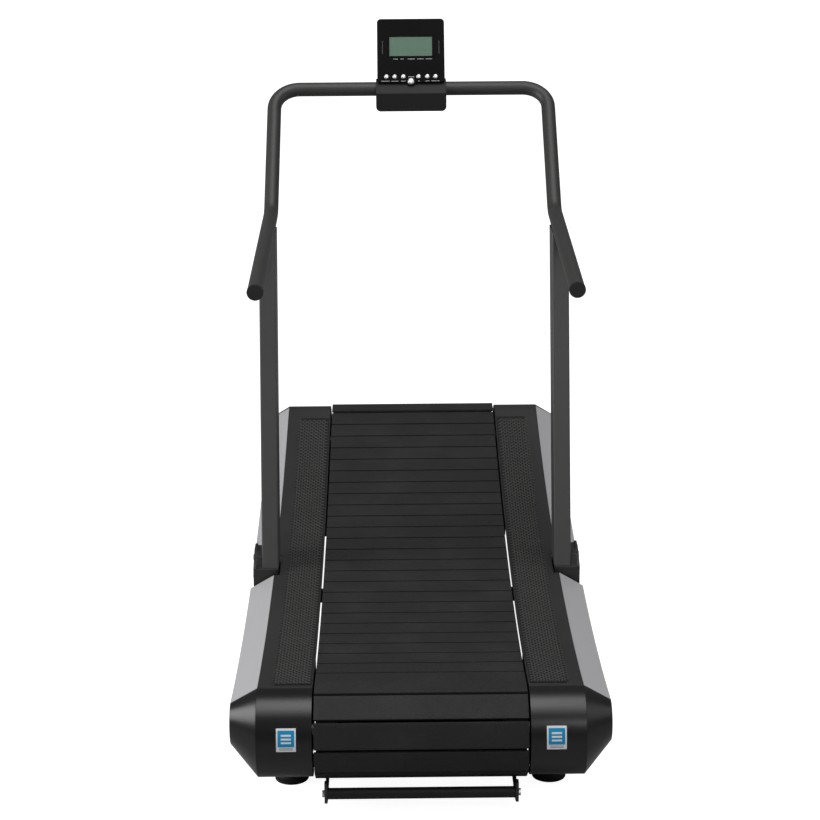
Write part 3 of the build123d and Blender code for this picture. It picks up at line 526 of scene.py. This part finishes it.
def tread_slat():
    """One rubber tread: a field of low pyramids inside a rolled border, and a skirt."""
    clear_selection()
    bpy.ops.mesh.primitive_grid_add(
        x_subdivisions=STUDS_ALONG, y_subdivisions=STUDS_ACROSS, size=1, location=(0, 0, 0)
    )
    slat = started("tread_slat")
    slat.scale = (SLAT_LENGTH - 2 * BORDER, SLAT_WIDTH - 2 * BORDER, 1)
    done(slat)
    edit(slat)
    bpy.ops.mesh.select_all(action="SELECT")
    bpy.ops.mesh.poke(offset=STUD_HEIGHT)
    for grow, drop in BORDER_STEPS:
        pick_edges(slat, on_rim)
        bpy.ops.mesh.extrude_edges_move()
        widen(slat, grow)
        bpy.ops.transform.translate(value=(0, 0, -drop))
    pick_edges(slat, on_rim)
    bpy.ops.mesh.extrude_edges_move()
    bpy.ops.transform.translate(value=(0, 0, -SKIRT_DEEP + BORDER_DROP + STUD_HEIGHT))
    pick_edges(slat, on_rim)
    bpy.ops.mesh.extrude_edges_move()
    widen(slat, -SKIRT_THICK)
    pick_edges(slat, on_rim)
    bpy.ops.mesh.extrude_edges_move()
    bpy.ops.transform.translate(value=(0, 0, SKIRT_DEEP - TREAD_THICK))
    pick_edges(slat, on_rim)
    bpy.ops.mesh.edge_face_add()
    faces_outwards()
    bpy.ops.transform.translate(value=(0, 0, -STUD_HEIGHT))
    done(slat)
    smooth(slat, 30)
    return slat


def belt(finish):
    slat = tread_slat()
    for on_deck, name, node in (
        (True, "deck_treads", "deck_slat_treads"),
        (False, "return_treads", "return_slat_treads"),
    ):
        places = [
            Matrix.Translation((0, y, z)) @ Matrix.Rotation(tilt, 4, "X")
            for deck, y, z, tilt in slat_places()
            if deck == on_deck
        ]
        whole = joined(copies(slat, places), name)
        dress(whole, finish, "frame", (node,))
    discard(slat)


# ---- grip strips -----------------------------------------------------------
PAD_IN = 0.230
PAD_REAR = -0.758
PAD_FRONT = 0.714
PAD_THICK = 0.0015
MARK_WIDTH = 0.0108
MARK_LENGTH = 0.0040
MARK_BEND = 0.0030
MARK_HEIGHT = 0.0013
MARK_SUNK = 0.0002
MARK_TAPER = (0.86, 0.62, 1)
MARK_COLUMNS = 6
MARK_PITCH_X = 0.0128
MARK_PITCH_Y = 0.0150
MARK_MARGIN_X = 0.0085
MARK_MARGIN_Y = 0.008
MARK_END = 0.012


def cover_height(y):
    centre = loop_centres(COVER_DECK_RADIUS, COVER_NOSE, BELLY_RADIUS)[0]
    return centre[1] - sqrt(COVER_DECK_RADIUS**2 - (y - centre[0]) ** 2)


def on_middle(edge):
    return all(abs(vertex.co.x) < MARK_WIDTH / 10 for vertex in edge.verts)


def grip_mark():
    """One low arrow mark."""
    clear_selection()
    bpy.ops.mesh.primitive_grid_add(x_subdivisions=2, y_subdivisions=1, size=1, location=(0, 0, 0))
    mark = started("grip_mark")
    mark.scale = (MARK_WIDTH, MARK_LENGTH, 1)
    done(mark)
    edit(mark)
    pick_edges(mark, on_middle)
    bpy.ops.transform.translate(value=(0, MARK_BEND, 0))
    bpy.ops.mesh.select_mode(type="FACE")
    bpy.ops.mesh.select_all(action="SELECT")
    bpy.ops.mesh.extrude_region_move(TRANSFORM_OT_translate={"value": (0, 0, MARK_HEIGHT)})
    bpy.ops.transform.resize(value=MARK_TAPER)
    pick_edges(mark, on_rim)
    bpy.ops.mesh.edge_face_add()
    faces_outwards()
    return done(mark)


def in_rows(piece, count, step):
    modify(
        piece, "ARRAY", count=count, use_relative_offset=False,
        use_constant_offset=True, constant_offset_displace=step,
    )


def grip_strips(finish):
    """Staggered rows of arrow marks that follow the curve of both covers."""
    rows = int((PAD_FRONT - PAD_REAR - MARK_END) / MARK_PITCH_Y)
    mark = grip_mark()
    between = Matrix.Translation((MARK_PITCH_X / 2, MARK_PITCH_Y / 2, 0))
    pair = joined([mark] + copies(mark, [between]), "grip_pair")
    in_rows(pair, MARK_COLUMNS, (MARK_PITCH_X, 0, 0))
    in_rows(pair, rows, (0, MARK_PITCH_Y, 0))
    for tag, side in (("left", -1), ("right", 1)):
        strip = copies(pair, [Matrix.Identity(4)])[0]
        for vertex in strip.data.vertices:
            x = vertex.co.x + PAD_IN + MARK_MARGIN_X
            y = vertex.co.y + PAD_REAR + MARK_MARGIN_Y
            vertex.co = (side * x, y, cover_height(y) + PAD_THICK + vertex.co.z - MARK_SUNK)
        edit(strip)
        faces_outwards()
        done(strip)
        strip.name = "grip_marks_" + tag
        dress(strip, finish)
    discard(pair)


# ---- labels ----------------------------------------------------------------
LABEL_X = 0.280
LABEL_THICK = 0.0004
FIELD_LOW = REAR_AXLE[1] + 0.0075
FIELD_HEIGHT = 0.0335
FIELD_HALF = 0.0172
STRIPE_RISES = (0.0070, 0.0145, 0.0220)
STRIPE_HEIGHT = 0.0038
STRIPE_HALF = 0.0105
RULE_DROPS = (0.0038, 0.0068)
RULE_HEIGHT = 0.0014
RULE_HALF = 0.014
INK_LIFT = 0.00008
INK_THICK = 0.0001


def wrapped_plate(name, x, half, low, height, lift, finish):
    """A thin printed patch that follows the round nose of a rear cap."""
    clear_selection()
    bpy.ops.mesh.primitive_grid_add(x_subdivisions=2, y_subdivisions=8, size=1, location=(0, 0, 0))
    patch = started(name)
    reach = COVER_NOSE + LABEL_THICK + lift
    for vertex in patch.data.vertices:
        z = low + height / 2 + vertex.co.y * height
        y = REAR_AXLE[0] - sqrt(reach**2 - (z - REAR_AXLE[1]) ** 2)
        vertex.co = (x + vertex.co.x * 2 * half, y, z)
    modify(patch, "SOLIDIFY", thickness=INK_THICK, offset=0)
    edit(patch)
    faces_outwards()
    done(patch)
    return dress(patch, finish)


def cap_stickers(blue, white, grey):
    """A blue field with three equal stripes, and two fine rules under it."""
    for tag, x in (("left", -LABEL_X), ("right", LABEL_X)):
        wrapped_plate(
            "label_field_" + tag, x, FIELD_HALF, FIELD_LOW, FIELD_HEIGHT, INK_LIFT, blue
        )
        for number, rise in enumerate(STRIPE_RISES, 1):
            wrapped_plate(
                f"label_stripe_{number}_{tag}", x, STRIPE_HALF,
                FIELD_LOW + rise, STRIPE_HEIGHT, 2 * INK_LIFT, white,
            )
        for number, drop in enumerate(RULE_DROPS, 1):
            wrapped_plate(
                f"label_rule_{number}_{tag}", x, RULE_HALF,
                FIELD_LOW - drop, RULE_HEIGHT, INK_LIFT, grey,
            )


# ---- console ---------------------------------------------------------------
def face_matrix(x, rise, lift):
    """Place on the console face: across, up it and out of it."""
    spot = Vector((
        x, FACE_Y + rise * sin(TILT) - lift * cos(TILT),
        FACE_Z + rise * cos(TILT) + lift * sin(TILT),
    ))
    return Matrix.Translation(spot) @ Matrix.Rotation(pi / 2 - TILT, 4, "X")


BAR_THICK = 0.00016
CAPTION_HEIGHT = 0.0019
DASH_PITCH = 2.6
DASH_FILL = 0.72
CAPTIONS = (              # rise in metres, then each word's start and end in mm
    (0.0629, ((-45, -33), (-26.5, -17.5), (-7.7, 10.5), (16.5, 33.7), (37.8, 54.7))),
    (0.0034, ((-76, -55), (-50, -32), (-25, -14), (18, 22.5), (36.7, 47), (53, 73))),
    (0.0148, ((-6.7, 8.2),)),
)
SIDE_MARK_X = 0.0725
SIDE_MARK_LOW = 0.079
SIDE_MARK_PITCH = 0.0035
SIDE_MARK_TICKS = 10
TICK_HALF = 0.0014
TICK_HEIGHT = 0.0024
WINDOW_RISE = 0.0975
BEZEL_SIZE = (0.1166, 0.0596)
BEZEL_WIDTH = 0.0034
BEZEL_HEIGHT = 0.0007
BEZEL_ROUND = 0.0003


def upright_edge(edge):
    return abs(edge.verts[0].co.z - edge.verts[1].co.z) > BAR_THICK / 2


def face_bar(name, x0, x1, rise, height, finish):
    """A printed dash on the console face, rounded at its ends."""
    clear_selection()
    bpy.ops.mesh.primitive_cube_add(size=1)
    bar = started(name)
    bar.scale = (x1 - x0, height, BAR_THICK)
    only(bar)
    bpy.ops.object.transform_apply(location=False, rotation=False, scale=True)
    edit(bar)
    pick_edges(bar, upright_edge)
    bpy.ops.mesh.bevel(offset=height * 0.35, segments=3)
    bpy.ops.object.mode_set(mode="OBJECT")
    bar.matrix_world = face_matrix((x0 + x1) / 2, rise, BAR_THICK / 2)
    done(bar)
    return dress(bar, finish)


def console_marks(ink, faint):
    """Rows of short dashes under the display and the buttons, and up both edges."""
    for row, (rise, words) in enumerate(CAPTIONS, 1):
        for column, (x0, x1) in enumerate(words, 1):
            count = max(2, round((x1 - x0) / DASH_PITCH))
            step = (x1 - x0) / count
            dashes = [
                face_bar(
                    f"caption_{row}_{column}_{n}", (x0 + n * step) / 1000,
                    (x0 + (n + DASH_FILL) * step) / 1000, rise, CAPTION_HEIGHT, ink,
                )
                for n in range(count)
            ]
            whole = joined(dashes, f"console_caption_{row}_{column}")
            dress(whole, ink)
    for tag, x in (("left", -SIDE_MARK_X), ("right", SIDE_MARK_X)):
        ticks = [
            face_bar(
                f"edge_tick_{n}_{tag}", x - TICK_HALF, x + TICK_HALF,
                SIDE_MARK_LOW + n * SIDE_MARK_PITCH, TICK_HEIGHT, faint,
            )
            for n in range(SIDE_MARK_TICKS)
        ]
        dress(joined(ticks, "console_side_mark_" + tag), faint)


def window_frame(finish):
    """Thin dark bezel round the display."""
    clear_selection()
    bpy.ops.mesh.primitive_plane_add(size=1)
    bezel = started("window_bezel")
    bezel.scale = (*BEZEL_SIZE, 1)
    only(bezel)
    bpy.ops.object.transform_apply(location=False, rotation=False, scale=True)
    edit(bezel)
    bpy.ops.mesh.select_all(action="SELECT")
    bpy.ops.mesh.inset(thickness=BEZEL_WIDTH)
    bpy.ops.mesh.delete(type="FACE")
    bpy.ops.mesh.select_all(action="SELECT")
    bpy.ops.mesh.extrude_region_move(TRANSFORM_OT_translate={"value": (0, 0, BEZEL_HEIGHT)})
    faces_outwards()
    bpy.ops.object.mode_set(mode="OBJECT")
    bezel.matrix_world = face_matrix(0, WINDOW_RISE, 0)
    done(bezel)
    modify(bezel, "BEVEL", width=BEZEL_ROUND, segments=2, limit_method="ANGLE")
    return dress(bezel, finish)


# ---- floor, light and camera -------------------------------------------------
FLOOR_SIZE = 60
FLOOR_GLOW = 0.95
SKY_LIGHT = 0.16          # what the sky gives the machine
SKY_SEEN = 1.1            # how bright the sky looks
LAMPS = (                 # name, kind, place, turn, power, size or angle
    ("top_sun", "SUN", (0, -1, 5), (4, 6, 0), 1.35, 50),
    ("overhead_box", "AREA", (0.0, -0.9, 3.4), (0, 0, 0), 27, 1.6),
    ("left_box", "AREA", (-3.4, -0.5, 1.9), (0, -68, 0), 84, 1.8),
    ("right_box", "AREA", (3.2, -0.6, 1.6), (0, 72, 0), 9, 1.5),
    ("rear_box", "AREA", (1.3, -4.4, 2.9), (56, 0, 18), 30, 0.9),
)
CAMERA_PLACE = (-0.048, -4.82, 2.113)
CAMERA_DOWN = radians(16.99)
CAMERA_TURN = radians(0.42)
CAMERA_ROLL = radians(-0.39)
CAMERA_LENS = 92.24       # mm, on a sensor 36 mm wide


def white_floor():
    """Pale floor that stays bright to the eye without lighting the machine from below."""
    clear_selection()
    bpy.ops.mesh.primitive_plane_add(size=FLOOR_SIZE, location=(0, 0, 0))
    floor = started("studio_floor")
    f = Finish("studio_floor_white", Specular_IOR_Level=0.0, Roughness=0.9)
    cloud = f.noise(1.5, 2)
    f.vary("Base Color", f.blend(cloud * 0.3, (0.42, 0.42, 0.42), (0.4, 0.4, 0.4)))
    seen = f.node("ShaderNodeLightPath", out="Is Camera Ray")
    f.shader.inputs["Emission Strength"].default_value = FLOOR_GLOW
    f.vary("Emission Color", f.blend(seen, (0, 0, 0), (1, 1, 1)))
    floor.data.materials.append(f.material)


def studio():
    white_floor()
    world = bpy.data.worlds.new("studio_white")
    bpy.context.scene.world = world
    sky = Tree(world)
    sky.nodes.remove(sky.nodes["Background"])
    soft, plain = (
        sky.node("ShaderNodeBackground", None, {"Color": (1, 1, 1, 1), "Strength": strength})
        for strength in (SKY_LIGHT, SKY_SEEN)
    )
    seen = sky.node("ShaderNodeLightPath", out="Is Camera Ray")
    mixed = sky.node("ShaderNodeMixShader", None, {0: seen, 1: soft, 2: plain})
    sky.join(sky.nodes["World Output"].inputs["Surface"], mixed)

    for name, kind, place, turn, power, spread in LAMPS:
        lamp = bpy.data.lights.new(name, kind)
        lamp.energy = power
        if kind == "SUN":
            lamp.angle = radians(spread)
        else:
            lamp.size = spread
        holder = bpy.data.objects.new(name, lamp)
        holder.location = place
        holder.rotation_euler = [radians(part) for part in turn]
        bpy.context.scene.collection.objects.link(holder)


def camera():
    down, turn, roll = CAMERA_DOWN, CAMERA_TURN, CAMERA_ROLL
    ahead = Vector((sin(turn) * cos(down), cos(turn) * cos(down), -sin(down)))
    right = Vector((cos(turn), -sin(turn), 0))
    up = right.cross(ahead)
    side = right * cos(roll) + up * sin(roll)
    top = up * cos(roll) - right * sin(roll)
    lens = bpy.data.cameras.new("viewer")
    lens.lens = CAMERA_LENS
    lens.sensor_width = 36
    lens.clip_end = 100
    holder = bpy.data.objects.new("viewer", lens)
    turn_matrix = Matrix((side, top, -ahead)).transposed().to_4x4()
    holder.matrix_world = Matrix.Translation(CAMERA_PLACE) @ turn_matrix
    bpy.context.scene.collection.objects.link(holder)
    bpy.context.scene.camera = holder
    bpy.context.scene.view_settings.view_transform = "Standard"


camera()
studio()

slat_rubber = tread_rubber()
pad_rubber = rubber(
    "pad_rubber_black", (0.006, 0.0058, 0.0056), (0.012, 0.0116, 0.0112), 0.65, shine=0.25
)
mark_rubber = rubber(
    "grip_mark_rubber", (0.032, 0.031, 0.030), (0.052, 0.050, 0.048), 0.5, shine=0.5
)
foot_rubber = rubber("foot_rubber_black", (0.008, 0.008, 0.008), (0.02, 0.02, 0.02), 0.6)
belt_rubber = rubber("carrier_rubber_black", (0.006, 0.006, 0.006), (0.014, 0.014, 0.013), 0.8)
cover_plastic = moulding(
    "cover_plastic_black", (0.013, 0.013, 0.0128), (0.018, 0.018, 0.0175), 0.46
)
cap_plastic = moulding(
    "cap_plastic_black", (0.006, 0.006, 0.0061), (0.009, 0.009, 0.0091),
    0.28, 0.0008, 0.00003, 0.32
)
end_plastic = moulding(
    "end_cap_black", (0.008, 0.008, 0.008), (0.016, 0.016, 0.016), 0.55, 0.0016, 0.00025
)
console_plastic = moulding(
    "console_black", (0.0025, 0.0025, 0.0025), (0.0045, 0.0045, 0.0045),
    0.66, 0.0007, 0.00003, 0.08
)
battery_plastic = moulding("battery_black", (0.01, 0.01, 0.01), (0.018, 0.018, 0.018), 0.5)
pulley_plastic = moulding(
    "pulley_plastic_black", (0.02, 0.02, 0.021), (0.035, 0.035, 0.036), 0.5
)
roller_plastic = moulding("roller_plastic_grey", (0.06, 0.06, 0.062), (0.1, 0.1, 0.1), 0.45)
frame_paint = coating("frame_paint_black", (0.010, 0.010, 0.0105), (0.018, 0.018, 0.018), 0.5)
upright_paint = coating(
    "upright_paint_grey", (0.050, 0.049, 0.048), (0.074, 0.073, 0.072), 0.42
)
handlebar_paint = coating(
    "handlebar_paint_grey", (0.022, 0.021, 0.020), (0.036, 0.035, 0.034), 0.44
)
bracket_paint = coating("bracket_paint_black", (0.012, 0.012, 0.012), (0.02, 0.02, 0.02), 0.45)
lift_paint = coating(
    "lift_bar_black", (0.004, 0.004, 0.004), (0.008, 0.008, 0.008), 0.5, 0.004, 0.0002, 0.3
)
sheet_paint = coating(
    "console_sheet_black", (0.005, 0.005, 0.005), (0.010, 0.010, 0.010), 0.5, shine=0.3
)
steel = bare_metal("shaft_steel", (0.5, 0.49, 0.47), 0.3, (12, 1, 1))
bearing_steel = bare_metal("bearing_steel", (0.42, 0.41, 0.4), 0.35)
rail_steel = bare_metal("rail_zinc", (0.45, 0.45, 0.44), 0.42, (1, 12, 1))
core_metal = coating(
    "slat_core_black", (0.012, 0.012, 0.012), (0.02, 0.02, 0.02), 0.5, metal=0.4
)
bolt_steel = bare_metal("bolt_zinc", (0.62, 0.62, 0.6), 0.26)
button_metal = bare_metal("button_silver", (0.5, 0.5, 0.5), 0.3)
panel_silver = silver_paint()
display = display_glass()
board_green = circuit()
label_white = printed("label_white", (0.72, 0.73, 0.74), (0.66, 0.67, 0.68))
label_blue = printed("label_blue", (0.0, 0.26, 0.52), (0.0, 0.22, 0.46))
label_grey = printed("label_grey", (0.25, 0.27, 0.3), (0.32, 0.34, 0.36))
ink_white = printed("caption_ink", (0.5, 0.5, 0.5), (0.4, 0.4, 0.4))
ink_faint = printed("side_mark_ink", (0.06, 0.06, 0.06), (0.045, 0.045, 0.045))

FINISHES = {
    "slat_rubber": slat_rubber, "slat_core": core_metal, "carrier_rubber": belt_rubber,
    "pulley_plastic": pulley_plastic, "axle_steel": steel, "bearing_steel": bearing_steel,
    "roller_plastic": roller_plastic, "frame_paint": frame_paint, "rail_steel": rail_steel,
    "foot_rubber": foot_rubber, "wheel_rubber": foot_rubber, "cap_plastic": cap_plastic,
    "cover_plastic": cover_plastic, "pad_rubber": pad_rubber, "panel_silver": panel_silver,
    "upright_paint": upright_paint, "bracket_paint": bracket_paint,
    "handlebar_paint": handlebar_paint, "end_cap_plastic": end_plastic,
    "bolt_steel": bolt_steel, "lift_bar_paint": lift_paint, "console_plastic": console_plastic,
    "display": display, "board_green": board_green, "battery_plastic": battery_plastic,
    "bracket_sheet": sheet_paint, "button_metal": button_metal, "label_print": label_white,
}
SLOT_OF = {}
for node_name, node in NODES.items():
    for slot in node.material_slots:
        SLOT_OF[node_name] = slot.material.name.split(".")[0]
        slot.material = FINISHES[SLOT_OF[node_name]]

belt(slat_rubber)
grip_strips(mark_rubber)
cap_stickers(label_blue, label_white, label_grey)
console_marks(ink_white, ink_faint)
window_frame(console_plastic)

ROUNDED = {
    "rear_cap_left": 0.003, "rear_cap_right": 0.003,
    "front_cap_left": 0.003, "front_cap_right": 0.003,
    "side_cover_rear_left": 0.0012, "side_cover_rear_right": 0.0012,
    "side_cover_front_left": 0.0012, "side_cover_front_right": 0.0012,
    "side_panel_left": 0.0012, "side_panel_right": 0.0012,
    "upright_bracket_left": 0.0012, "upright_bracket_right": 0.0012,
    "frame_beam_left": 0.003, "frame_beam_right": 0.003,
    "foot_pads": 0.0004, "console_front_shell": 0.0008, "console_back_shell": 0.0012,
    "console_bracket": 0.0009, "floor_legs": 0.0015, "frame_bolts": 0.0008,
    "handle_end_caps": 0.003, "lift_bar": 0.001, "cross_members": 0.002,
    "foot_rear_left": 0.0015, "foot_rear_right": 0.0015,
    "foot_front_left": 0.0015, "foot_front_right": 0.0015,
    "console_clamps": 0.001, "battery_pack": 0.0006, "axle_plates": 0.0008,
    "track_rails": 0.0006, "axle_bearings": 0.0015,
}
for node_name, width in ROUNDED.items():
    softened(node_name, width)
